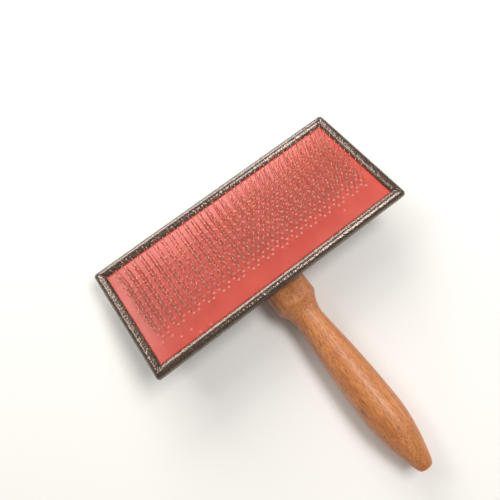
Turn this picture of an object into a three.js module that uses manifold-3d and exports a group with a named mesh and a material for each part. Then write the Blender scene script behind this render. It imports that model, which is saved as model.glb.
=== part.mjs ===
// Slicker brush for grooming pets: a pressed-steel head filled with a cushioned
// field of bent wire pins, screwed to the cut-away nose of a turned wooden handle.
// Millimetres, +Z up. The brush lies on its back, pins up, handle towards -Y.
// The origin is the centre of the planed flat under the handle's nose.
import * as THREE from 'three';
import { mergeVertices } from 'three/addons/utils/BufferGeometryUtils.js';
import Module from 'manifold-3d';

const wasm = await Module();
wasm.setup();

// ---- Driving dimensions ----

const headLength = 110;         // along X
const headWidth = 49;           // along the handle
const headDroop = 12;           // degrees between the head and the handle's axis

const rimRadius = 2.2;          // rolled rim, seen from above
const sheetThickness = 0.4;
const flankWidth = 4;           // how far the rounded back edge reaches inwards
const lipCurl = 62;             // degrees the rolled lip turns down past its top
const mitreGap = 0.25;          // open seam where two folded rims meet

const boardThickness = 1.4;
const cushionThickness = 1.2;
const facingThickness = 1.0;
const fitGap = 0.3;             // clearance between neighbouring pieces

const wireRadius = 0.15;
const pinRows = 18;
const rowPitch = 1.46;
const staplePitch = 6.54;       // from one staple to the next in its row
const crownWidth = 2.18;        // between the two legs of a staple
const fieldEndMargin = 8.5;     // bare facing and rim beyond the end pins
const pinHeight = 10.6;          // above the facing
const kneeHeight = 6.3;
const lowerLean = 30;           // degrees, away from the handle
const upperLean = 3;            // degrees, back towards the handle
const slitClearance = 0.2;
const crownSpread = 1.05;       // crowns' bar against the wire's half-width

const noseLength = 31;          // handle under the head
const noseRound = 7;            // length of the nose's rounded end
const flareRadius = 8.3;
const flareEnd = 3.8;           // behind the head's near edge
const neckRadius = 5.3;
const neckAt = 12;
const bellyRadius = 7.3;
const bellyAt = 50.4;
const taperRadius = 3.5;        // where the butt's edge rounding starts
const taperAt = 71.3;
const buttRadius = 2.2;
const handleEnd = 73.5;
const landingHeight = 6.4;      // handle axis to the landing, at the near edge
const restFlatDepth = 0.5;      // planed off the underside of the flare
const restCentre = 12.5;        // flat's centre, ahead of the head's near edge

const screwCount = 3;
const screwInset = 7;           // first screw from the head's near edge
const screwSpacing = 9;
const screwLength = 8.2;
const screwRadius = 1.1;
const screwHeadRadius = 2.4;
const screwHeadHeight = 1.1;
const screwSlotWidth = 0.6;
const screwSlotDepth = 0.5;
const screwHeadEdge = 0.2;      // straight edge above the countersink
const screwPoint = 2.8;         // length of the tapered point

// ---- How full the handle's turned curves are ----

const neckLinger = 0.2;         // share of the swell that stays near the neck
const neckFullness = 0.3;
const bellyApproach = 0.47;     // share of the swell where it has nearly reached the belly
const bellyShortfall = 0.15;
const bellyLinger = 0.34;       // share of the taper that stays near the belly
const taperApproach = 0.67;     // share of the taper where it heads for the butt
const taperFullness = 0.3;
const buttFullness = 0.6;

// ---- Places that follow from them, in the head's own frame ----
// The head's frame has its centre at the middle of the rolled rim, Z out of the pins.

const degrees = Math.PI / 180;
const lipEndHeight = (rimRadius - sheetThickness) * Math.cos(lipCurl * degrees);
const facingTop = lipEndHeight - fitGap;
const facingBottom = facingTop - facingThickness;
const cushionTop = facingBottom - fitGap;
const cushionBottom = cushionTop - cushionThickness;
const boardTop = cushionBottom - fitGap;
const boardBottom = boardTop - boardThickness;
const shellFloor = boardBottom - fitGap;
const flankDepth = sheetThickness - shellFloor;
const landingLevel = -flankDepth - fitGap;
const axisHeight = flareRadius - restFlatDepth;
const wood = 0xc98755;
const leatherBrown = 0x4a3526;
const rubberRed = 0xd9685c;
const steel = 0x8d8a88;

// ---- Solids ----

function solidOf(geometry) {
  const bare = geometry.clone();
  bare.deleteAttribute('normal');
  bare.deleteAttribute('uv');
  const merged = mergeVertices(bare, 1e-5);
  return new wasm.Manifold(new wasm.Mesh({
    numProp: 3,
    vertProperties: new Float32Array(merged.attributes.position.array),
    triVerts: new Uint32Array(merged.index.array),
  }));
}

function geometryOf(solid) {
  const { vertProperties, triVerts } = solid.getMesh();
  const geometry = new THREE.BufferGeometry();
  geometry.setAttribute('position', new THREE.BufferAttribute(vertProperties, 3));
  geometry.setIndex(new THREE.BufferAttribute(triVerts, 1));
  return geometry;
}

function cut(solid, tools) {
  return tools.reduce((rest, tool) => rest.subtract(solidOf(tool)), solid);
}

// A block by its lowest and highest corners.
function block(x0, y0, z0, x1, y1, z1) {
  const box = new THREE.BoxGeometry(x1 - x0, y1 - y0, z1 - z0);
  return box.translate((x0 + x1) / 2, (y0 + y1) / 2, (z0 + z1) / 2);
}

// A layer of the head, its edges a fit gap clear of the shell's wall.
function layer(bottom, top) {
  const inset = Math.max(clearInset(bottom), clearInset(top));
  const x = headLength / 2 - inset;
  const y = headWidth / 2 - inset;
  return block(-x, -y, bottom, x, y, top);
}

// How far inside the head's outline a corner at a height has to stay.
function clearInset(height) {
  const wall = sheetThickness + fitGap;
  const reach = height < 0 ? flankWidth : rimRadius;
  const drop = height < 0 ? flankDepth : rimRadius;
  const share = Math.min(Math.abs(height) / (drop - wall), 1);
  return reach - (reach - wall) * Math.sqrt(1 - share * share);
}

function arc(points, centre, reach, rise, from, to, steps) {
  for (let i = 0; i <= steps; i += 1) {
    const angle = (from + (to - from) * i / steps) * degrees;
    points.push(new THREE.Vector2(centre - reach * Math.cos(angle), rise * Math.sin(angle)));
  }
}

// ---- Head pieces ----

// The profile is (inset from the outline, height), swept round the rectangle with
// mitred corners: a four-sided lathe, stretched along X to the head's length.
function backShell() {
  const profile = [];
  const inner = sheetThickness;
  const lip = 90 + lipCurl;
  arc(profile, flankWidth, flankWidth, flankDepth, -90, 0, 8);
  profile.pop();
  arc(profile, rimRadius, rimRadius, rimRadius, 0, lip, 10);
  arc(profile, rimRadius, rimRadius - inner, rimRadius - inner, lip, 0, 8);
  profile.pop();
  arc(profile, flankWidth, flankWidth - inner, flankDepth - inner, 0, -90, 8);
  const half = headWidth / 2;
  const outline = profile.map((p) => new THREE.Vector2((half - p.x) * Math.SQRT2, p.y));
  const lathe = new THREE.LatheGeometry(
    [new THREE.Vector2(0, -flankDepth), ...outline, new THREE.Vector2(0, shellFloor)], 4);
  lathe.rotateY(Math.PI / 4).rotateX(Math.PI / 2);
  const position = lathe.attributes.position;
  const stretch = (headLength - headWidth) / 2;
  for (let i = 0; i < position.count; i += 1) {
    const x = position.getX(i);
    if (Math.abs(x) > rimRadius) position.setX(i, x + Math.sign(x) * stretch);
  }
  return geometryOf(cut(solidOf(lathe), [...mitres(), ...screwHoles()]));
}

// Thin cutters on the corners' diagonals, down to the middle of the rolled rim.
function mitres() {
  const reach = rimRadius * 4;
  const cutters = [];
  for (const sideX of [-1, 1]) {
    for (const sideY of [-1, 1]) {
      const cutter = block(-reach, -mitreGap / 2, 0, reach, mitreGap / 2, rimRadius + 1);
      cutter.rotateZ(sideX * sideY * Math.PI / 4);
      cutters.push(cutter.translate(sideX * headLength / 2, sideY * headWidth / 2, 0));
    }
  }
  return cutters;
}

function backingBoard() {
  return geometryOf(cut(solidOf(layer(boardBottom, boardTop)), screwHoles()));
}

// One groove for each row's crowns in the top of the cushion.
function feltCushion() {
  const halfGroove = crownHalfWidth() + slitClearance;
  const end = fieldHalf() + crownWidth / 2;
  const grooves = rowPlaces().map((y) => block(
    -end, y + barOffset() - halfGroove, cushionTop - 2 * wireRadius - fitGap,
    end, y + barOffset() + halfGroove, cushionTop + 1));
  return geometryOf(cut(solidOf(layer(cushionBottom, cushionTop)), grooves));
}

// One slit for each row's legs, sloping as the legs do.
function rubberFacing() {
  const halfSlit = triangleRadius() + slitClearance;
  const end = fieldHalf() + crownWidth / 2;
  const deep = facingThickness + 1;
  const slope = Math.tan(lowerLean * degrees);
  const slits = rowPlaces().map((y) => {
    const slit = block(-end, -halfSlit, -deep, end, halfSlit, deep);
    slit.applyMatrix4(new THREE.Matrix4().makeShear(0, 0, 0, 0, 0, slope));
    return slit.translate(0, y, facingTop);
  });
  return geometryOf(cut(solidOf(layer(facingBottom, facingTop)), slits));
}

// ---- Wire pins ----

function fieldHalf() {
  return headLength / 2 - fieldEndMargin;
}

function rowPlaces() {
  return Array.from({ length: pinRows }, (_, i) => (i - (pinRows - 1) / 2) * rowPitch);
}

// Where the crowns lie, behind the point at which their legs leave the facing.
function barOffset() {
  const depth = facingTop - (cushionTop - wireRadius);
  return -depth * Math.tan(lowerLean * degrees);
}

// A three-sided leg with the cross-section of the round wire.
function triangleRadius() {
  return wireRadius * Math.sqrt(4 * Math.PI / (3 * Math.sqrt(3)));
}

// The crowns' bar is just wide enough to take the foot of every leg.
function crownHalfWidth() {
  return crownSpread * triangleRadius();
}

// Neighbouring rows are staggered by half a staple pitch.
function legPlaces(row) {
  const phase = row % 2 === 0 ? 0.25 : -0.25;
  const reach = Math.ceil(headLength / staplePitch);
  const places = [];
  for (let k = -reach; k <= reach; k += 1) {
    for (const side of [-1, 1]) {
      const x = (k + phase) * staplePitch + side * crownWidth / 2;
      if (Math.abs(x) <= fieldHalf()) places.push(x);
    }
  }
  return places;
}

function pinLeg(x) {
  const kneeOut = kneeHeight * Math.tan(lowerLean * degrees);
  const tipBack = (pinHeight - kneeHeight) * Math.tan(upperLean * degrees);
  const stations = [
    new THREE.Vector3(x, barOffset(), cushionTop - wireRadius),
    new THREE.Vector3(x, kneeOut, facingTop + kneeHeight),
    new THREE.Vector3(x, kneeOut - tipBack, facingTop + pinHeight),
  ];
  const radius = triangleRadius();
  const leg = new THREE.CylinderGeometry(radius, radius, 1, 3, stations.length - 1);
  leg.rotateX(Math.PI / 2);
  const position = leg.attributes.position;
  for (let i = 0; i < position.count; i += 1) {
    const level = Math.round((position.getZ(i) + 0.5) * (stations.length - 1));
    const station = stations[level];
    position.setXYZ(i, position.getX(i) + station.x, position.getY(i) + station.y, station.z);
  }
  return leg;
}

// A row of staples, joined end to end by their crowns under the facing.
function pinRow(row) {
  const places = legPlaces(row);
  const first = places[0] - 2 * wireRadius;
  const last = places[places.length - 1] + 2 * wireRadius;
  const crowns = solidOf(block(
    first, barOffset() - crownHalfWidth(), cushionTop - 2 * wireRadius,
    last, barOffset() + crownHalfWidth(), cushionTop));
  return geometryOf(places.reduce((comb, x) => comb.add(solidOf(pinLeg(x))), crowns));
}

// ---- Screws ----

function screwPlaces() {
  return Array.from({ length: screwCount }, (_, i) => -headWidth / 2 + screwInset + i * screwSpacing);
}

// A countersunk wood screw; spare makes it fatter all round, for its hole.
function screwBody(spare) {
  const tip = -screwLength - spare;
  const neck = -screwHeadHeight - spare / 2;
  const points = [
    new THREE.Vector2(0, tip),
    new THREE.Vector2(screwRadius + spare, tip + screwPoint),
    new THREE.Vector2(screwRadius + spare, neck),
    new THREE.Vector2(screwHeadRadius + spare, -screwHeadEdge - spare / 2),
    new THREE.Vector2(screwHeadRadius + spare, spare),
    new THREE.Vector2(0, spare),
  ];
  return new THREE.LatheGeometry(points, 16).rotateX(Math.PI / 2);
}

function screwHoles() {
  return screwPlaces().map((y) => screwBody(fitGap).translate(0, y, boardTop));
}

function screw() {
  const reach = 2 * screwHeadRadius;
  const slot = block(-reach, -screwSlotWidth / 2, -screwSlotDepth, reach, screwSlotWidth / 2, 1);
  return geometryOf(cut(solidOf(screwBody(0)), [slot]));
}

// ---- Handle ----

// Turned profile as (radius, distance behind the head's near edge).
function handleProfile() {
  const at = (radius, along) => new THREE.Vector2(radius, along);
  const grip = bellyAt - neckAt;
  const fall = taperAt - bellyAt;
  const points = [];
  for (let i = 0; i < 6; i += 1) {
    const angle = i / 6 * Math.PI / 2;
    points.push(at(flareRadius * Math.sin(angle), -noseLength + noseRound * (1 - Math.cos(angle))));
  }
  const shoulder = new THREE.QuadraticBezierCurve(
    at(flareRadius, flareEnd),
    at(neckRadius, (flareEnd + neckAt) / 2),
    at(neckRadius, neckAt));
  const swell = new THREE.CubicBezierCurve(
    at(neckRadius, neckAt),
    at(neckRadius + neckFullness, neckAt + grip * neckLinger),
    at(bellyRadius - bellyShortfall, neckAt + grip * bellyApproach),
    at(bellyRadius, bellyAt));
  const taper = new THREE.CubicBezierCurve(
    at(bellyRadius, bellyAt),
    at(bellyRadius, bellyAt + fall * bellyLinger),
    at((bellyRadius + taperRadius) / 2 + taperFullness, bellyAt + fall * taperApproach),
    at(taperRadius, taperAt));
  const edge = new THREE.QuadraticBezierCurve(
    at(taperRadius, taperAt), at(buttRadius + buttFullness, handleEnd), at(buttRadius, handleEnd));
  points.push(at(flareRadius, -noseLength + noseRound));
  points.push(...shoulder.getPoints(6));
  points.push(...swell.getPoints(8).slice(1));
  points.push(...taper.getPoints(7).slice(1));
  points.push(...edge.getPoints(2).slice(1));
  points.push(at(0, handleEnd));
  return points;
}

// The head's frame seen from the part's frame.
function headPlacement() {
  const turn = new THREE.Matrix4().makeRotationX(-headDroop * degrees);
  const nearEdge = new THREE.Vector3(0, -headWidth / 2, landingLevel - landingHeight);
  nearEdge.applyMatrix4(turn);
  const axisPoint = new THREE.Vector3(0, -restCentre, axisHeight);
  return turn.setPosition(axisPoint.sub(nearEdge));
}

// Turned, then cut flat under the head, planed underneath and bored for the screws.
function handle() {
  const turned = new THREE.LatheGeometry(handleProfile(), 28);
  turned.rotateZ(Math.PI).translate(0, -restCentre, 0);
  const placement = headPlacement();
  const clear = 2 * headWidth;
  const landing = block(-clear, -clear, landingLevel, clear, clear, landingLevel + clear);
  const holes = screwHoles().map((hole) => hole.applyMatrix4(placement));
  const floor = block(-clear, -2 * clear, -clear, clear, clear, 0);
  turned.translate(0, 0, axisHeight);
  return geometryOf(cut(solidOf(turned), [landing.applyMatrix4(placement), floor, ...holes]));
}

// ---- Assembly ----

function piece(name, geometry, color, roughness, metalness) {
  const mesh = new THREE.Mesh(geometry, new THREE.MeshStandardMaterial({ color, roughness, metalness }));
  mesh.name = name;
  return mesh;
}

const group = new THREE.Group();
group.add(piece('handle', handle(), wood, 0.35, 0));

const head = new THREE.Group();
head.applyMatrix4(headPlacement());
head.add(piece('back_shell', backShell(), leatherBrown, 0.4, 0.3));
head.add(piece('backing_board', backingBoard(), 0x9c7a52, 0.8, 0));
head.add(piece('felt_cushion', feltCushion(), 0xd8cfc0, 0.95, 0));
head.add(piece('rubber_facing', rubberFacing(), rubberRed, 0.45, 0));

screwPlaces().forEach((y, i) => {
  const mesh = piece(`head_screw_${i + 1}`, screw(), steel, 0.4, 1);
  mesh.position.set(0, y, boardTop);
  head.add(mesh);
});

const combs = [pinRow(0), pinRow(1)];
rowPlaces().forEach((y, i) => {
  const number = String(i + 1).padStart(2, '0');
  const mesh = piece(`pin_row_${number}`, combs[i % 2], steel, 0.3, 1);
  mesh.position.set(0, y, 0);
  head.add(mesh);
});
group.add(head);

export default group;
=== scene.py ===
"""Looks of the slicker brush: a wire-pin head on a turned wooden handle.

Pieces are worked out in millimetres, in the head's own frame or in the part's frame,
and are written to meshes in metres. The head's frame has its centre at the middle of
the rolled rim, X along the head, +Y away from the handle, Z out of the pins.
"""
import math
import random

import bmesh
import bpy
from mathutils import Matrix, Vector, noise


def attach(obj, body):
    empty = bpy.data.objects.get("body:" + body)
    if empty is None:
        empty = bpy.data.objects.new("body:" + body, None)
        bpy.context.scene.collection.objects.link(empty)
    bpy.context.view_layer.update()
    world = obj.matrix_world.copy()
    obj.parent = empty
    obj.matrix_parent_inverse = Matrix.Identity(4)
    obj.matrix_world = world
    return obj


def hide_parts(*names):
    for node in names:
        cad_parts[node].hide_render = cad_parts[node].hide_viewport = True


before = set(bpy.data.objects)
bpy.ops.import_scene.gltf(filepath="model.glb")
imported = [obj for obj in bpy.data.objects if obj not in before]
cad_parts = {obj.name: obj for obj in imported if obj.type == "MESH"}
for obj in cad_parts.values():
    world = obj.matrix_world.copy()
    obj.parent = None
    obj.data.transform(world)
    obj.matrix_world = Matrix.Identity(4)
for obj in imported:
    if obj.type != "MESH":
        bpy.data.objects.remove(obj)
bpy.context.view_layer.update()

# ---- Sizes, in millimetres, as in the part ----

HEAD_LENGTH, HEAD_WIDTH = 110.0, 49.0
HEAD_DROOP = math.radians(12)
RIM_RADIUS, SHEET = 2.2, 0.4
FLANK_WIDTH = 4.0
LIP_CURL = math.radians(62)
BOARD, CUSHION, FACING = 1.4, 1.2, 1.0
FIT_GAP = 0.3
WIRE_RADIUS = 0.15
PIN_ROWS, ROW_PITCH = 18, 1.46
STAPLE_PITCH, CROWN_WIDTH = 6.54, 2.18
FIELD_END_MARGIN = 8.5
PIN_HEIGHT, KNEE_HEIGHT = 10.6, 6.3
LOWER_LEAN, UPPER_LEAN = math.radians(30), math.radians(3)
TIP_LENGTH = 1.3
NOSE_LENGTH, NOSE_ROUND = 31.0, 7.0
FLARE_RADIUS, FLARE_END = 8.3, 3.8
NECK_RADIUS, NECK_AT = 5.3, 12.0
BELLY_RADIUS, BELLY_AT = 7.3, 50.4
TAPER_RADIUS, TAPER_AT = 3.5, 71.3
BUTT_RADIUS, HANDLE_END = 2.2, 73.5
LANDING_HEIGHT = 6.4
REST_FLAT_DEPTH, REST_CENTRE = 0.5, 12.5

# How full the handle's turned curves are
NECK_LINGER, NECK_FULLNESS = 0.2, 0.3
BELLY_APPROACH, BELLY_SHORTFALL, BELLY_LINGER = 0.47, 0.15, 0.34
TAPER_APPROACH, TAPER_FULLNESS, BUTT_FULLNESS = 0.67, 0.3, 0.6
FLARE_EDGE_START, FLARE_EDGE_DROP, FLARE_EDGE_RUN = 0.5, 0.35, 0.45

LIP_END = (RIM_RADIUS - SHEET) * math.cos(LIP_CURL)
FACING_TOP = LIP_END - FIT_GAP
FACING_BOTTOM = FACING_TOP - FACING
CUSHION_TOP = FACING_BOTTOM - FIT_GAP
CUSHION_BOTTOM = CUSHION_TOP - CUSHION
SHELL_FLOOR = CUSHION_BOTTOM - FIT_GAP - BOARD - FIT_GAP
FLANK_DEPTH = SHEET - SHELL_FLOOR
LANDING_LEVEL = -FLANK_DEPTH - FIT_GAP
AXIS_HEIGHT = FLARE_RADIUS - REST_FLAT_DEPTH
FIELD_HALF = HEAD_LENGTH / 2 - FIELD_END_MARGIN
LIP_REACH = RIM_RADIUS * (1 + math.sin(LIP_CURL))

# The rubber: its edge inside the rim, its swell, what each wire lifts, and its slack
FACING_INSET = 1.0
FACING_SWELL, SWELL_RUN = 0.55, 5.0
PUCKER_RISE, PUCKER_SHIFT = 0.2, 0.22
PUCKER_REACH_X, PUCKER_REACH_Y = 0.42, 0.36
FACING_SLACK, SLACK_RATE = 0.05, 0.12

# The felt: its edge inside the rim, the dent under each row's crowns, and its swollen edge
CUSHION_INSET = 1.7
DENT_DEPTH, DENT_REACH = 0.62, 0.38
FELT_EDGE, FELT_EDGE_RUN, FELT_BULGE = 0.4, 0.5, 0.3

# The shell: how far its embossed face is sunk, its grain, folds and seams, and its corners
EMBOSS_SINK = 0.12
GRAIN_RISE, GRAIN_SLANT = 0.045, 0.7
CREASE_DEPTH, CREASE_WIDTH = 0.07, 0.07
FOLD_RISE, FOLD_RATE, FOLD_RUN = 0.08, 4.6, 2.4
SEAM_DEPTH, SEAM_WIDTH, SEAM_LEVEL = 0.34, 0.24, -0.6
CORNER_RADIUS, CORNER_LOSS, LEAST_CORNER = 1.1, 0.6, 0.12

# The wires: their bends, their thinner cut ends, and the stub of a crown whose other leg is missing
CROWN_BEND, CROWN_LIFT, KNEE_BEND = 0.35, 0.45, 0.8
TIP_SHARE, STUB_SHARE = 0.6, 0.4

# How far each wire strays, in degrees and in millimetres
LOWER_ERROR, UPPER_ERROR, SIDE_ERROR, HOOK_ERROR = 0.8, 3, 0.7, 2.5
END_HOOK, HOOKED_FROM = 7, 0.94
KNOCKED_SHARE, KNOCK_LEAN, KNOCK_SIDE = 0.04, 5, 4
LOWEST_KNEE = 0.3
LEAST_TRIM, MOST_TRIM = 0.05, 0.35

# A knot in the belly's left side, stretched along the grain
KNOT_STRETCH = (0.7, 0.4, 0.7)
KNOT_PLACE = (-6.0, -59.3, 11.8)

# How far the handle's cut edges are rounded
EDGE_ROUNDING = 0.25

# How finely the meshes are divided
RING_STEP, CORNER_STEPS = 0.3, 6
WIRE_SIDES, HANDLE_SIDES = 8, 112
FACING_STEP = 0.25

# The camera, in the head's frame
LENS = 34.4
CAMERA_PLACE = (-24.9, -79.7, 156.6)
CAMERA_AHEAD = (0.1279, 0.4254, -0.8960)
CAMERA_RIGHT = (0.7986, -0.5798, -0.1613)

# The lights, and the point that they face, in metres
WARM_WHITE = (1, 0.97, 0.92)
BRUSH_MIDDLE = (0, 0, 0.015)

METRES = Matrix.Scale(0.001, 4)


def head_placement():
    """The head's frame seen from the part's frame, in millimetres."""
    turn = Matrix.Rotation(-HEAD_DROOP, 4, "X")
    near_edge = turn @ Vector((0, -HEAD_WIDTH / 2, LANDING_LEVEL - LANDING_HEIGHT))
    turn.translation = Vector((0, -REST_CENTRE, AXIS_HEIGHT)) - near_edge
    return turn


HEAD = METRES @ head_placement()


# ---- Camera, light and floor ----

def add_camera():
    """A standard lens above the handle's side of the head, looking down at the pins."""
    data = bpy.data.cameras.new("camera")
    data.lens = LENS
    data.clip_start = 0.01
    camera = bpy.data.objects.new("camera", data)
    right = Vector(CAMERA_RIGHT)
    ahead = Vector(CAMERA_AHEAD).normalized()
    right = (right - right.dot(ahead) * ahead).normalized()
    axes = Matrix((right, right.cross(ahead), -ahead)).transposed().to_4x4()
    axes.translation = CAMERA_PLACE
    seen = head_placement() @ axes
    seen.translation *= 0.001
    camera.matrix_world = seen
    bpy.context.scene.collection.objects.link(camera)
    bpy.context.scene.camera = camera


def add_area(name, place, size, power, colour):
    """A rectangular light, placed and sized in metres, that faces the brush."""
    data = bpy.data.lights.new(name, "AREA")
    data.shape = "RECTANGLE"
    data.size, data.size_y = size
    data.energy = power
    data.color = colour
    light = bpy.data.objects.new(name, data)
    light.location = place
    towards = Vector(BRUSH_MIDDLE) - light.location
    light.rotation_euler = towards.to_track_quat("-Z", "Y").to_euler()
    bpy.context.scene.collection.objects.link(light)


def add_studio():
    """A wide low softbox and a narrow high one at the far side, a key light, a pale room."""
    add_area("low_softbox", (0.07, 0.571, 0.285), size=(0.52, 0.355), power=3.6, colour=WARM_WHITE)
    add_area("high_softbox", (-0.26, 0.40, 0.46), size=(0.16, 0.20), power=0.8, colour=WARM_WHITE)
    add_area("key", (0.24, -0.08, 0.55), size=(0.36, 0.20), power=2.3, colour=(1, 0.98, 0.95))
    world = bpy.data.worlds.new("studio")
    world.use_nodes = True
    room = world.node_tree.nodes["Background"].inputs
    room["Color"].default_value = (1, 0.98, 0.96, 1)
    room["Strength"].default_value = 0.28
    bpy.context.scene.world = world
    bpy.context.scene.view_settings.view_transform = "Standard"


def add_floor():
    """A plain pale floor at the height that the brush rests on."""
    bpy.ops.mesh.primitive_plane_add(size=6)
    floor = bpy.context.object
    floor.name = "floor"
    nodes = Nodes("floor_paper")
    nodes.shade(colour=(0.86, 0.85, 0.83, 1), roughness=0.8)
    floor.data.materials.append(nodes.material)


# ---- Materials ----

class Nodes:
    """One procedural material, built a node at a time."""

    def __init__(self, name):
        self.material = bpy.data.materials.new(name)
        self.material.use_nodes = True
        self.tree = self.material.node_tree
        self.tree.nodes.clear()
        self.output = self.tree.nodes.new("ShaderNodeOutputMaterial")

    def add(self, kind, inputs=None, **settings):
        """A shader node; an input is a value or another node's output."""
        node = self.tree.nodes.new("ShaderNode" + kind)
        for key, value in settings.items():
            setattr(node, key, value)
        for key, value in (inputs or {}).items():
            if hasattr(value, "links"):
                self.tree.links.new(value, node.inputs[key])
            else:
                node.inputs[key].default_value = value
        return node

    def place(self, scale=(1, 1, 1), turn=(0, 0, 0)):
        """The point on the part, in millimetres, stretched and turned."""
        coordinates = self.add("TexCoord").outputs["Object"]
        size = [1000 * s for s in scale]
        return self.add("Mapping", {"Vector": coordinates, "Scale": size, "Rotation": turn}).outputs[0]

    def noise(self, place, scale, detail=3.0, roughness=0.5, distortion=0.0):
        inputs = {"Vector": place, "Scale": scale, "Detail": detail, "Roughness": roughness,
                  "Distortion": distortion}
        return self.add("TexNoise", inputs).outputs[0]

    def cells(self, place, scale, feature="F1"):
        inputs = {"Vector": place, "Scale": scale}
        return self.add("TexVoronoi", inputs, feature=feature).outputs["Distance"]

    def ramp(self, value, stops):
        """Stops of (position, grey or colour)."""
        node = self.add("ValToRGB", {"Fac": value})
        ramp = node.color_ramp
        while len(ramp.elements) < len(stops):
            ramp.elements.new(0.5)
        for element, (position, colour) in zip(ramp.elements, stops):
            element.position = position
            grey = isinstance(colour, (int, float))
            element.color = (colour, colour, colour, 1) if grey else (*colour, 1)
        return node.outputs[0]

    def mix(self, share, first, second, blend="MIX"):
        """Two colours mixed; the node's inputs 0, 6 and 7 are its share and its colours."""
        node = self.add("Mix", data_type="RGBA", blend_type=blend)
        for socket, value in ((0, share), (6, first), (7, second)):
            if hasattr(value, "links"):
                self.tree.links.new(value, node.inputs[socket])
            elif socket == 0:
                node.inputs[socket].default_value = value
            else:
                node.inputs[socket].default_value = (*value, 1)
        return node.outputs[2]

    def bump(self, height, distance, strength=1.0, after=None):
        """A bump of so many metres for a height of one."""
        inputs = {"Height": height, "Distance": distance, "Strength": strength}
        if after:
            inputs["Normal"] = after
        return self.add("Bump", inputs).outputs[0]

    def shade(self, colour, roughness, normal=None, **constants):
        """The surface itself; constants are the shader's other sockets, set directly."""
        inputs = {"Base Color": colour, "Roughness": roughness}
        if normal:
            inputs["Normal"] = normal
        for key, value in constants.items():
            inputs[key.replace("_", " ")] = value
        shader = self.add("BsdfPrincipled", inputs)
        self.tree.links.new(shader.outputs[0], self.output.inputs["Surface"])


def wood_material():
    """Varnished orange-brown hardwood: bands, short dark pores along the grain, a knot."""
    n = Nodes("varnished_wood")
    dark_band, mid_band, pale_band = (0.52, 0.165, 0.042), (0.62, 0.225, 0.062), (0.71, 0.295, 0.100)
    pore_brown, knot_brown = (0.25, 0.075, 0.024), (0.21, 0.06, 0.02)
    flowing = n.noise(n.place(scale=(1, 0.05, 1)), 0.45, detail=4, roughness=0.55, distortion=0.5)
    bands = n.ramp(flowing, [(0.30, dark_band), (0.5, mid_band), (0.70, pale_band)])
    fibres = n.noise(n.place(scale=(1, 0.035, 1)), 4.8, detail=4, roughness=0.7)
    streaks = n.ramp(fibres, [(0.38, (0.55, 0.45, 0.38)), (0.56, (1, 1, 1))])
    bands = n.mix(0.75, bands, streaks, blend="MULTIPLY")
    specks = n.noise(n.place(scale=(1, 0.10, 1), turn=(0, 0, 0.05)), 4.2, detail=2, roughness=0.5)
    pores = n.ramp(specks, [(0.54, 0), (0.62, 0.75)])
    heart = [stretch * place for stretch, place in zip(KNOT_STRETCH, KNOT_PLACE)]
    knot = n.add("VectorMath", {0: n.place(scale=KNOT_STRETCH), 1: heart}, operation="DISTANCE")
    rings = n.ramp(knot.outputs["Value"], [(0.0, 0.9), (0.35, 0.75), (0.5, 0.1), (0.75, 0.5), (1.0, 0)])
    colour = n.mix(pores, bands, pore_brown)
    colour = n.mix(rings, colour, knot_brown)
    dents = n.bump(pores, 0.00005, strength=0.5)
    dents = n.bump(streaks, 0.00004, strength=0.4, after=dents)
    n.shade(colour, 0.46, normal=dents, Coat_Weight=0.4, Coat_Roughness=0.38)
    return n.material


def shell_material():
    """Glossy dark brown lacquer over leather grain, with painted shade darkening the creases."""
    n = Nodes("leather_grain_lacquer")
    dark_brown, worn_brown = (0.042, 0.023, 0.014), (0.085, 0.049, 0.028)
    painted_crease_shade = (0.018, 0.010, 0.008)
    place = n.place()
    warped = n.noise(place, 0.9, detail=2)
    cells = n.cells(place, 0.85, feature="DISTANCE_TO_EDGE")
    fine = n.noise(place, 1.9, detail=2, roughness=0.5)
    creases = n.ramp(cells, [(0.0, 0), (0.16, 1)])
    colour = n.mix(n.ramp(warped, [(0.35, 0), (0.65, 1)]), dark_brown, worn_brown)
    # Painted shade: the creases are darkened towards black.
    colour = n.mix(creases, painted_crease_shade, colour)
    relief = n.bump(creases, 0.00008, strength=0.3)
    relief = n.bump(fine, 0.00010, strength=0.2, after=relief)
    n.shade(colour, 0.22, normal=relief, IOR=1.75, Specular_IOR_Level=0.8,
            Specular_Tint=(1.0, 0.87, 0.78, 1))
    return n.material


def rubber_material():
    """Salmon-red rubber, with a painted highlight where each wire lifts it."""
    n = Nodes("salmon_rubber")
    deep_red, salmon, pucker_highlight_pink = (0.49, 0.050, 0.032), (0.58, 0.078, 0.052), (0.74, 0.27, 0.20)
    place = n.place()
    cloud = n.noise(place, 0.09, detail=4)
    fine = n.noise(place, 2.2, detail=3)
    colour = n.mix(n.ramp(cloud, [(0.3, 0), (0.7, 1)]), deep_red, salmon)
    lifted = n.add("Attribute", attribute_name="lifted").outputs["Fac"]
    # Painted highlight: the rubber is paled towards pink on each pucker round a wire.
    colour = n.mix(n.ramp(lifted, [(0.15, 0), (0.8, 1)]), colour, pucker_highlight_pink)
    n.shade(colour, 0.36, normal=n.bump(fine, 0.00004, strength=0.35), Specular_IOR_Level=0.65)
    return n.material


def wire_material():
    """Bright drawn steel with brownish die marks along it, matt and paler at the cut end."""
    n = Nodes("drawn_wire")
    marks = n.noise(n.place(scale=(6, 6, 0.8)), 1.5, detail=2)
    colour = n.ramp(marks, [(0.3, (0.80, 0.66, 0.56)), (0.7, (0.93, 0.84, 0.74))])
    cut_end = n.add("Attribute", attribute_name="tip").outputs["Fac"]
    colour = n.mix(cut_end, colour, (0.95, 0.88, 0.78))
    roughness = n.mix(cut_end, n.ramp(marks, [(0.3, 0.16), (0.7, 0.26)]), (0.6, 0.6, 0.6))
    n.shade(colour, roughness, Metallic=1.0)
    return n.material


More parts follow.
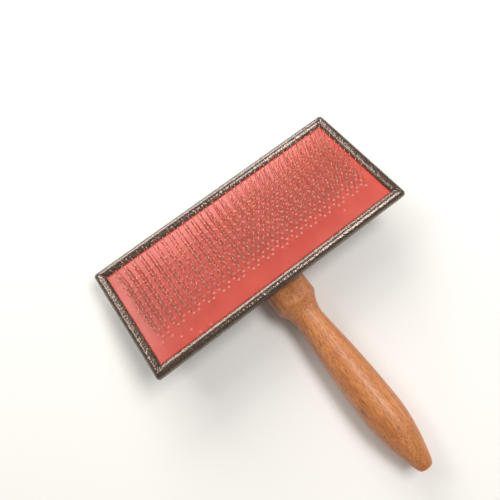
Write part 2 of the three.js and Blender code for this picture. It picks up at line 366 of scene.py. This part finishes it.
def felt_material():
    """Grey-white pressed wool."""
    n = Nodes("wool_felt")
    place = n.place()
    fluff = n.noise(place, 1.8, detail=6, roughness=0.7)
    colour = n.ramp(fluff, [(0.3, (0.55, 0.50, 0.42)), (0.7, (0.78, 0.74, 0.66))])
    n.shade(colour, 0.95, normal=n.bump(fluff, 0.0002), Sheen_Weight=0.4)
    return n.material


def board_material():
    """Raw brown fibreboard, with darker chips in it."""
    n = Nodes("fibreboard")
    place = n.place()
    chips = n.cells(place, 0.9)
    colour = n.mix(n.noise(place, 3.0, detail=5), (0.30, 0.19, 0.10), (0.48, 0.33, 0.19))
    colour = n.mix(n.ramp(chips, [(0.2, 0), (0.8, 0.4)]), colour, (0.22, 0.13, 0.07))
    n.shade(colour, 0.85, normal=n.bump(chips, 0.00008, strength=0.5))
    return n.material


def screw_material():
    """Zinc-plated steel, faintly brushed."""
    n = Nodes("zinc_steel")
    brushed = n.noise(n.place(scale=(0.6, 8, 1)), 2.0, detail=3)
    colour = n.ramp(brushed, [(0.3, (0.50, 0.49, 0.46)), (0.7, (0.72, 0.71, 0.68))])
    n.shade(colour, n.ramp(brushed, [(0.3, 0.28), (0.7, 0.42)]), Metallic=1.0)
    return n.material


# ---- Meshes ----

def add_piece(name, points, faces, placement, material, sharp=None):
    """A smooth-shaded piece; edges over the sharp angle, in degrees, stay crisp."""
    mesh = bpy.data.meshes.new(name)
    mesh.from_pydata([placement @ Vector(p) for p in points], [], faces)
    mesh.validate()
    mesh.polygons.foreach_set("use_smooth", [True] * len(mesh.polygons))
    if sharp:
        mesh.set_sharp_from_angle(angle=math.radians(sharp))
    mesh.materials.append(material)
    piece = bpy.data.objects.new(name, mesh)
    bpy.context.scene.collection.objects.link(piece)
    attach(piece, "root")
    return piece


def paint(piece, name, values):
    """A number for each point of a piece, for its material to read."""
    layer = piece.data.attributes.new(name, "FLOAT", "POINT")
    layer.data.foreach_set("value", values)


def bridge(faces, first, second, count, closed=True):
    """Quads between two rows of points that start at the given indices."""
    for i in range(count if closed else count - 1):
        j = (i + 1) % count
        faces.append((first + i, first + j, second + j, second + i))


def bezier(corners, steps):
    """Points of a Bezier curve of any degree, its end points included."""
    made = []
    for i in range(steps + 1):
        level = [Vector(c) for c in corners]
        while len(level) > 1:
            level = [a.lerp(b, i / steps) for a, b in zip(level, level[1:])]
        made.append(level[0])
    return made


def grid_faces(columns, rows):
    """The faces of a grid of points that is written row by row."""
    faces = []
    for j in range(rows):
        bridge(faces, j * (columns + 1), (j + 1) * (columns + 1), columns + 1, closed=False)
    return faces


def grid_edge(columns, rows):
    """The grid's outer points, in order round it."""
    edge = [(i, 0) for i in range(columns)] + [(columns, j) for j in range(rows)]
    edge += [(i, rows) for i in range(columns, 0, -1)] + [(0, j) for j in range(rows, 0, -1)]
    return [j * (columns + 1) + i for i, j in edge]


def hang_skirt(faces, upper, lower):
    """Quads from one closed row of points down to the next."""
    for a in range(len(upper)):
        b = (a + 1) % len(upper)
        faces.append((upper[b], upper[a], lower[a], lower[b]))


def arc(centre, reach, rise, start, end, steps):
    """Points (inset, height) of part of an ellipse; angle 0 points out of the head."""
    angles = [math.radians(start + (end - start) * i / steps) for i in range(steps + 1)]
    return [(centre - reach * math.cos(a), rise * math.sin(a)) for a in angles]


# ---- Shell with its rolled rim ----

def shell_profile():
    """(inset, height) along the sheet's outer and inner faces, from the back to the lip and in again."""
    lip = 90 + math.degrees(LIP_CURL)
    inner = RIM_RADIUS - SHEET
    outside = arc(FLANK_WIDTH, FLANK_WIDTH, FLANK_DEPTH, -90, 0, 12)[:-1]
    outside += arc(RIM_RADIUS, RIM_RADIUS, RIM_RADIUS, 0, lip, 26)
    inside = arc(RIM_RADIUS, inner, inner, lip, 0, 12)[:-1]
    inside += arc(FLANK_WIDTH, FLANK_WIDTH - SHEET, FLANK_DEPTH - SHEET, 0, -90, 8)
    return outside, inside


def rectangle_ring(inset):
    """(x, y, distance to the mitre, outward x and y, place along the side) round a rectangle."""
    radius = max(LEAST_CORNER, CORNER_RADIUS - inset * CORNER_LOSS)
    corner_run = radius * 0.8
    half_x, half_y = HEAD_LENGTH / 2 - inset, HEAD_WIDTH / 2 - inset
    sides = [(HEAD_LENGTH, (1, 0)), (HEAD_WIDTH, (0, 1)), (HEAD_LENGTH, (-1, 0)), (HEAD_WIDTH, (0, -1))]
    ring = []
    for side, (length, (ax, ay)) in enumerate(sides):
        out, along = Vector((ay, -ax)), Vector((ax, ay))
        reach = (half_x if ax else half_y) - radius
        depth = half_y if ax else half_x
        start = side * 2 * HEAD_LENGTH
        steps = round(length / RING_STEP)
        for i in range(steps + 1):
            t = -reach + 2 * reach * i / steps
            p = out * depth + along * t
            ring.append((p.x, p.y, reach - abs(t) + corner_run, out.x, out.y, start + t))
        turn = (out * (depth - radius)) + along * reach
        for i in range(1, CORNER_STEPS):
            angle = math.pi / 2 * i / CORNER_STEPS
            away = out * math.cos(angle) + along * math.sin(angle)
            p = turn + away * radius
            mitre = abs(angle - math.pi / 4) / (math.pi / 4) * corner_run
            ring.append((p.x, p.y, mitre, away.x, away.y, start + reach))
    return ring


def emboss(along, round_it, mitre, height):
    """How far the sheet stands proud: creased leather grain, mitre folds and their seams."""
    fade = min(mitre / 2, 1)
    slanted = along + GRAIN_SLANT * round_it
    crease = noise.noise(Vector((slanted * 0.85, round_it * 0.30, 3)))
    crease = math.exp(-(crease / CREASE_WIDTH) ** 2)
    grain = noise.noise(Vector((slanted, round_it * 0.6, 9)))
    leather = fade * (GRAIN_RISE * grain - CREASE_DEPTH * crease)
    folds = math.sin(mitre * FOLD_RATE + 0.5 * round_it) * math.exp(-mitre / FOLD_RUN)
    folded = FOLD_RISE * (folds - 1) * (1 - fade)
    seam = math.exp(-(mitre / SEAM_WIDTH) ** 2) if height > SEAM_LEVEL else 0
    return -EMBOSS_SINK + leather + folded - SEAM_DEPTH * seam


def shell_stations():
    """(inset, height, embossed) for each ring of the shell, from the back's middle round to the inside."""
    outside, inside = shell_profile()
    floor_insets = [FLANK_WIDTH + 1.5, 8, 12, 17, HEAD_WIDTH / 2 - 1.5]
    stations = [(inset, -FLANK_DEPTH, False) for inset in reversed(floor_insets)]
    stations += [(inset, height, True) for inset, height in outside]
    stations += [(inset, height, False) for inset, height in inside]
    stations += [(inset, SHELL_FLOOR, False) for inset in floor_insets]
    return stations


def build_shell():
    """The folded and rolled sheet, its leather grain and folds pressed into the mesh."""
    stations = shell_stations()
    points, faces = [], []
    round_it = 0
    for index, (inset, height, embossed) in enumerate(stations):
        before, after = stations[max(index - 1, 0)], stations[min(index + 1, len(stations) - 1)]
        outward = Vector((after[1] - before[1], after[0] - before[0])).normalized()
        ring = rectangle_ring(inset)
        if index:
            round_it += math.hypot(inset - before[0], height - before[1])
        for x, y, mitre, ox, oy, along in ring:
            p = Vector((x, y, height))
            if embossed:
                proud = emboss(along, round_it, mitre, height)
                p += Vector((ox * outward.x, oy * outward.x, outward.y)) * proud
            points.append(p)
        if index:
            bridge(faces, (index - 1) * len(ring), index * len(ring), len(ring))
    faces.append(tuple(range(len(ring)))[::-1])
    faces.append(tuple(range((len(stations) - 1) * len(ring), len(stations) * len(ring))))
    shell = add_piece("leather_grain_shell", points, faces, HEAD, shell_material())
    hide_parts("back_shell")


# ---- Wire pins ----

def row_places():
    """Where each row of wires lies, across the head."""
    return [(i - (PIN_ROWS - 1) / 2) * ROW_PITCH for i in range(PIN_ROWS)]


def staples(row):
    """The legs of each staple in a row, as lists of one or two places along X."""
    phase = 0.25 if row % 2 == 0 else -0.25
    reach = math.ceil(HEAD_LENGTH / STAPLE_PITCH)
    found = []
    for k in range(-reach, reach + 1):
        legs = [(k + phase) * STAPLE_PITCH + side * CROWN_WIDTH / 2 for side in (-1, 1)]
        legs = [x for x in legs if abs(x) <= FIELD_HALF]
        if legs:
            found.append(legs)
    return found


def facing_height(x, y):
    """The facing's surface: gently crowned, and pulled down under the rim."""
    to_end = HEAD_LENGTH / 2 - LIP_REACH - abs(x)
    to_side = HEAD_WIDTH / 2 - LIP_REACH - abs(y)
    rise = (1 - math.exp(-max(to_end, 0) / SWELL_RUN)) * (1 - math.exp(-max(to_side, 0) / SWELL_RUN))
    return FACING_TOP + FACING_SWELL * rise


def leg_path(x, y, chance):
    """From just above the crown to the tip, with the wire's own small errors.

    The wires at one end hook outwards, and one in twenty-five is knocked out of line.
    """
    lower = LOWER_LEAN + math.radians(chance.gauss(0, LOWER_ERROR))
    upper = UPPER_LEAN + math.radians(chance.gauss(0, UPPER_ERROR))
    aside = math.radians(chance.gauss(0, SIDE_ERROR))
    hook = math.radians(chance.gauss(0, HOOK_ERROR))
    if x < -HOOKED_FROM * FIELD_HALF:
        hook -= math.radians(END_HOOK)
    if chance.random() < KNOCKED_SHARE:
        lower += math.radians(chance.uniform(-KNOCK_LEAN, KNOCK_LEAN))
        aside += math.radians(chance.uniform(-KNOCK_SIDE, KNOCK_SIDE))
    knee = KNEE_HEIGHT - chance.uniform(0, LOWEST_KNEE)
    rise = PIN_HEIGHT - KNEE_HEIGHT - chance.uniform(LEAST_TRIM, MOST_TRIM)
    crown_depth = FACING_TOP - (CUSHION_TOP - WIRE_RADIUS)
    slope = Vector((math.tan(aside), math.tan(lower), 1))
    back = Vector((math.tan(hook), -math.tan(upper), 1))
    foot = Vector((x, y, FACING_TOP))
    start = foot - Vector((0, math.tan(LOWER_LEAN), 1)) * (crown_depth - CROWN_LIFT)
    halfway = foot + slope * (knee * 0.5)
    bend = foot + slope * knee
    tip = bend + back * rise
    turn = bezier([bend - slope * KNEE_BEND, bend, bend + back * KNEE_BEND], 5)
    return [start, foot, halfway, *turn, tip - back * TIP_LENGTH, tip - back * 0.5, tip]


def tube(points, faces, path, radii):
    """A round wire along the path, its frame carried from ring to ring."""
    across = Vector((0.3, 0.9, 0.1))    # any start that isn't along a wire
    base = len(points)
    for i, p in enumerate(path):
        ahead = (path[min(i + 1, len(path) - 1)] - path[max(i - 1, 0)]).normalized()
        across = (across - across.dot(ahead) * ahead).normalized()
        other = ahead.cross(across)
        for k in range(WIRE_SIDES):
            angle = 2 * math.pi * k / WIRE_SIDES
            points.append(p + (across * math.cos(angle) + other * math.sin(angle)) * radii[i])
        if i:
            bridge(faces, base + (i - 1) * WIRE_SIDES, base + i * WIRE_SIDES, WIRE_SIDES)
    faces.append(tuple(range(base, base + WIRE_SIDES))[::-1])
    faces.append(tuple(range(len(points) - WIRE_SIDES, len(points))))


def staple_path(legs, y, chance):
    """Tip to tip through the crown, or from one tip to the crown's end where a leg is missing."""
    crown_z = CUSHION_TOP - WIRE_RADIUS
    crown_y = y - (FACING_TOP - crown_z) * math.tan(LOWER_LEAN)
    paths = [leg_path(x, y, chance) for x in legs]
    whole = len(legs) == 2
    first = legs[0]
    last = legs[1] if whole else first - math.copysign(CROWN_WIDTH * STUB_SHARE, first)
    inwards = math.copysign(CROWN_BEND, last - first)
    crown_end = last - inwards if whole else last
    crown = [Vector((x, crown_y, crown_z)) for x in (first + inwards, crown_end)]
    path = paths[0][::-1] + crown
    radii = [WIRE_RADIUS * TIP_SHARE] + [WIRE_RADIUS] * (len(path) - 1)
    if whole:
        path += paths[1]
        radii += [WIRE_RADIUS] * (len(paths[1]) - 1) + [WIRE_RADIUS * TIP_SHARE]
    return path, radii


def build_pins():
    """Each row as one piece of separate staples."""
    chance = random.Random(7)
    material = wire_material()
    for row, y in enumerate(row_places()):
        points, faces = [], []
        for legs in staples(row):
            path, radii = staple_path(legs, y, chance)
            tube(points, faces, path, radii)
        name = f"{row + 1:02d}"
        wires = add_piece("wire_row_" + name, points, faces, HEAD, material, sharp=50)
        base = FACING_TOP + PIN_HEIGHT - TIP_LENGTH
        paint(wires, "tip", [min(max(2 * (p.z - base), 0), 1) for p in points])
        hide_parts("pin_row_" + name)


# ---- Facing, cushion and what is under them ----

def stray_punctures():
    """Empty needle holes left near the handle's side, (x, y)."""
    return [(-46.4, -14.4), (-42.4, -14.5), (-40.1, -16.8), (-36, -16.8), (-33.9, -19.4), (-29.6, -19.5),
            (33.5, -15.2)]


def puckers(half_x, half_y):
    """How far the rubber is lifted at the facing's grid points, by the wires and the empty holes."""
    spots = [(x, y, 1.0) for row, y in enumerate(row_places()) for legs in staples(row) for x in legs]
    spots += [(x, y, 0.7) for x, y in stray_punctures()]
    lifts = {}
    for x, y, strength in spots:
        column, row = round((x + half_x) / FACING_STEP), round((y + half_y) / FACING_STEP)
        for i in range(column - 4, column + 5):
            for j in range(row - 4, row + 5):
                px, py = i * FACING_STEP - half_x - x, j * FACING_STEP - half_y - y
                near = math.exp(-(px / PUCKER_REACH_X) ** 2 - ((py + PUCKER_SHIFT) / PUCKER_REACH_Y) ** 2)
                lifts[i, j] = lifts.get((i, j), 0) + near * strength
    return lifts


def build_facing():
    """A crowned rubber sheet, puckered round every wire, whose edge goes down under the rim."""
    half_x, half_y = HEAD_LENGTH / 2 - FACING_INSET, HEAD_WIDTH / 2 - FACING_INSET
    columns, rows = round(2 * half_x / FACING_STEP), round(2 * half_y / FACING_STEP)
    lifts = puckers(half_x, half_y)
    points, lifted = [], []
    for j in range(rows + 1):
        for i in range(columns + 1):
            x, y = i * FACING_STEP - half_x, j * FACING_STEP - half_y
            lift = min(lifts.get((i, j), 0), 1.1)
            slack = FACING_SLACK * noise.noise(Vector((x, y, 0)) * SLACK_RATE)
            points.append(Vector((x, y, facing_height(x, y) + PUCKER_RISE * lift + slack)))
            lifted.append(lift)
    faces = grid_faces(columns, rows)
    upper = grid_edge(columns, rows)
    lower = range(len(points), len(points) + len(upper))
    points += [Vector((points[k].x, points[k].y, FACING_BOTTOM)) for k in upper]
    lifted += [0.0] * len(upper)
    hang_skirt(faces, upper, lower)
    faces.append(tuple(lower)[::-1])
    facing = add_piece("salmon_facing", points, faces, HEAD, rubber_material(), sharp=60)
    # The lift also drives the rubber's painted highlight on each pucker.
    paint(facing, "lifted", lifted)
    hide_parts("rubber_facing")


def felt_top(half_x, half_y, columns, rows):
    """The cushion's upper face, dented along each row and rounded off at its edges."""
    crown_shift = -(FACING_TOP - CUSHION_TOP) * math.tan(LOWER_LEAN)
    points = []
    for j in range(rows + 1):
        for i in range(columns + 1):
            x = -half_x + 2 * half_x * i / columns
            y = -half_y + 2 * half_y * j / rows
            away = min(abs(y - crown_shift - place) for place in row_places())
            dent = DENT_DEPTH * math.exp(-(away / DENT_REACH) ** 4) if abs(x) < FIELD_HALF + 1 else 0
            inside = min(half_x - abs(x), half_y - abs(y))
            rounding = FELT_EDGE * math.exp(-inside / FELT_EDGE_RUN)
            points.append(Vector((x, y, CUSHION_TOP - dent - rounding)))
    return points


def build_cushion():
    """A felt pad with swollen edges, dented along each row by the crowns."""
    step_x, step_y = 2.0, ROW_PITCH / 6
    half_x, half_y = HEAD_LENGTH / 2 - CUSHION_INSET, HEAD_WIDTH / 2 - CUSHION_INSET
    columns, rows = round(2 * half_x / step_x), round(2 * half_y / step_y)
    points = felt_top(half_x, half_y, columns, rows)
    faces = grid_faces(columns, rows)
    rim = grid_edge(columns, rows)
    upper = rim
    for bulge, share in [(FELT_BULGE, 0.5), (FELT_BULGE, 0.85), (0.0, 1.0)]:
        lower = range(len(points), len(points) + len(rim))
        height = CUSHION_TOP - FELT_EDGE + (CUSHION_BOTTOM - CUSHION_TOP + FELT_EDGE) * share
        for k in rim:
            x, y = points[k].x, points[k].y
            out_x = math.copysign(bulge, x) if abs(x) > half_x - 0.1 else 0
            out_y = math.copysign(bulge, y) if abs(y) > half_y - 0.1 else 0
            points.append(Vector((x + out_x, y + out_y, height)))
        hang_skirt(faces, upper, lower)
        upper = lower
    faces.append(tuple(upper)[::-1])
    cushion = add_piece("felt_pad", points, faces, HEAD, felt_material())
    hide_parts("felt_cushion")


def finish_hidden_parts():
    """The board and the screws keep their CAD shapes and take their own finishes."""
    steel = screw_material()
    finishes = {f"head_screw_{number}": steel for number in (1, 2, 3)}
    finishes["backing_board"] = board_material()
    for node, material in finishes.items():
        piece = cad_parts[node]
        piece.data.materials.clear()
        piece.data.materials.append(material)


# ---- Handle ----

def handle_profile():
    """(radius, distance behind the head's near edge) from the nose to the butt."""
    nose = []
    for i in range(1, 13):
        angle = math.pi / 2 * i / 13
        nose.append(Vector((FLARE_RADIUS * math.sin(angle),
                            -NOSE_LENGTH + NOSE_ROUND * (1 - math.cos(angle)))))
    grip, taper = BELLY_AT - NECK_AT, TAPER_AT - BELLY_AT
    flare_edge = (FLARE_RADIUS, FLARE_END - FLARE_EDGE_START)
    shoulder_start = (FLARE_RADIUS - FLARE_EDGE_DROP, FLARE_END + FLARE_EDGE_RUN)
    neck, belly = (NECK_RADIUS, NECK_AT), (BELLY_RADIUS, BELLY_AT)
    butt_edge = (TAPER_RADIUS, TAPER_AT)
    straight = bezier([(FLARE_RADIUS, -NOSE_LENGTH + NOSE_ROUND), flare_edge], 14)
    corner = bezier([flare_edge, (FLARE_RADIUS, FLARE_END), shoulder_start], 4)
    shoulder = bezier([shoulder_start, (NECK_RADIUS, (FLARE_END + NECK_AT) / 2), neck], 18)
    swell = bezier([neck, (NECK_RADIUS + NECK_FULLNESS, NECK_AT + grip * NECK_LINGER),
                    (BELLY_RADIUS - BELLY_SHORTFALL, NECK_AT + grip * BELLY_APPROACH), belly], 40)
    fall = bezier([belly, (BELLY_RADIUS, BELLY_AT + taper * BELLY_LINGER),
                   ((BELLY_RADIUS + TAPER_RADIUS) / 2 + TAPER_FULLNESS, BELLY_AT + taper * TAPER_APPROACH),
                   butt_edge], 26)
    edge = bezier([butt_edge, (BUTT_RADIUS + BUTT_FULLNESS, HANDLE_END), (BUTT_RADIUS, HANDLE_END)], 8)
    stretches = [nose, straight, corner[1:], shoulder[1:], swell[1:], fall[1:], edge[1:]]
    return [p for stretch in stretches for p in stretch]


def build_handle():
    """The turned wood, shaved to the landing under the head and to the flat that it rests on."""
    points, faces = [], []
    profile = handle_profile()
    for radius, along in profile:
        for k in range(HANDLE_SIDES):
            angle = 2 * math.pi * k / HANDLE_SIDES
            points.append(Vector((radius * math.sin(angle), -REST_CENTRE - along,
                                  AXIS_HEIGHT + radius * math.cos(angle))))
    for i in range(1, len(profile)):
        bridge(faces, (i - 1) * HANDLE_SIDES, i * HANDLE_SIDES, HANDLE_SIDES)
    nose = len(points)
    points.append(Vector((0, NOSE_LENGTH - REST_CENTRE, AXIS_HEIGHT)))
    for k in range(HANDLE_SIDES):
        faces.append((k, (k + 1) % HANDLE_SIDES, nose))
    faces.append(tuple(range(nose - HANDLE_SIDES, nose)))
    handle = add_piece("turned_handle", points, faces, METRES, wood_material())
    landing = head_placement()
    up = (landing.to_3x3() @ Vector((0, 0, 1))).normalized()
    just_above_the_floor = Vector((0, 0, 0.001))
    shave(handle, landing @ Vector((0, 0, LANDING_LEVEL)), up)
    shave(handle, just_above_the_floor, Vector((0, 0, -1)))
    handle.data.polygons.foreach_set("use_smooth", [True] * len(handle.data.polygons))
    handle.data.set_sharp_from_angle(angle=math.radians(40))
    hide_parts("handle")


def shave(piece, point, normal):
    """Cuts away what lies beyond a plane and softens the edge that this leaves."""
    work = bmesh.new()
    work.from_mesh(piece.data)
    everything = work.verts[:] + work.edges[:] + work.faces[:]
    cut = bmesh.ops.bisect_plane(work, geom=everything, plane_co=METRES @ point, plane_no=normal,
                                 clear_outer=True)
    rim = [e for e in cut["geom_cut"] if isinstance(e, bmesh.types.BMEdge)]
    bmesh.ops.contextual_create(work, geom=rim)
    bmesh.ops.bevel(work, geom=rim, offset=0.001 * EDGE_ROUNDING, segments=2, profile=0.5,
                    affect="EDGES", clamp_overlap=True)
    bmesh.ops.recalc_face_normals(work, faces=work.faces)
    work.to_mesh(piece.data)
    work.free()


add_camera()
add_studio()
add_floor()
build_handle()
build_shell()
build_facing()
build_pins()
build_cushion()
finish_hidden_parts()
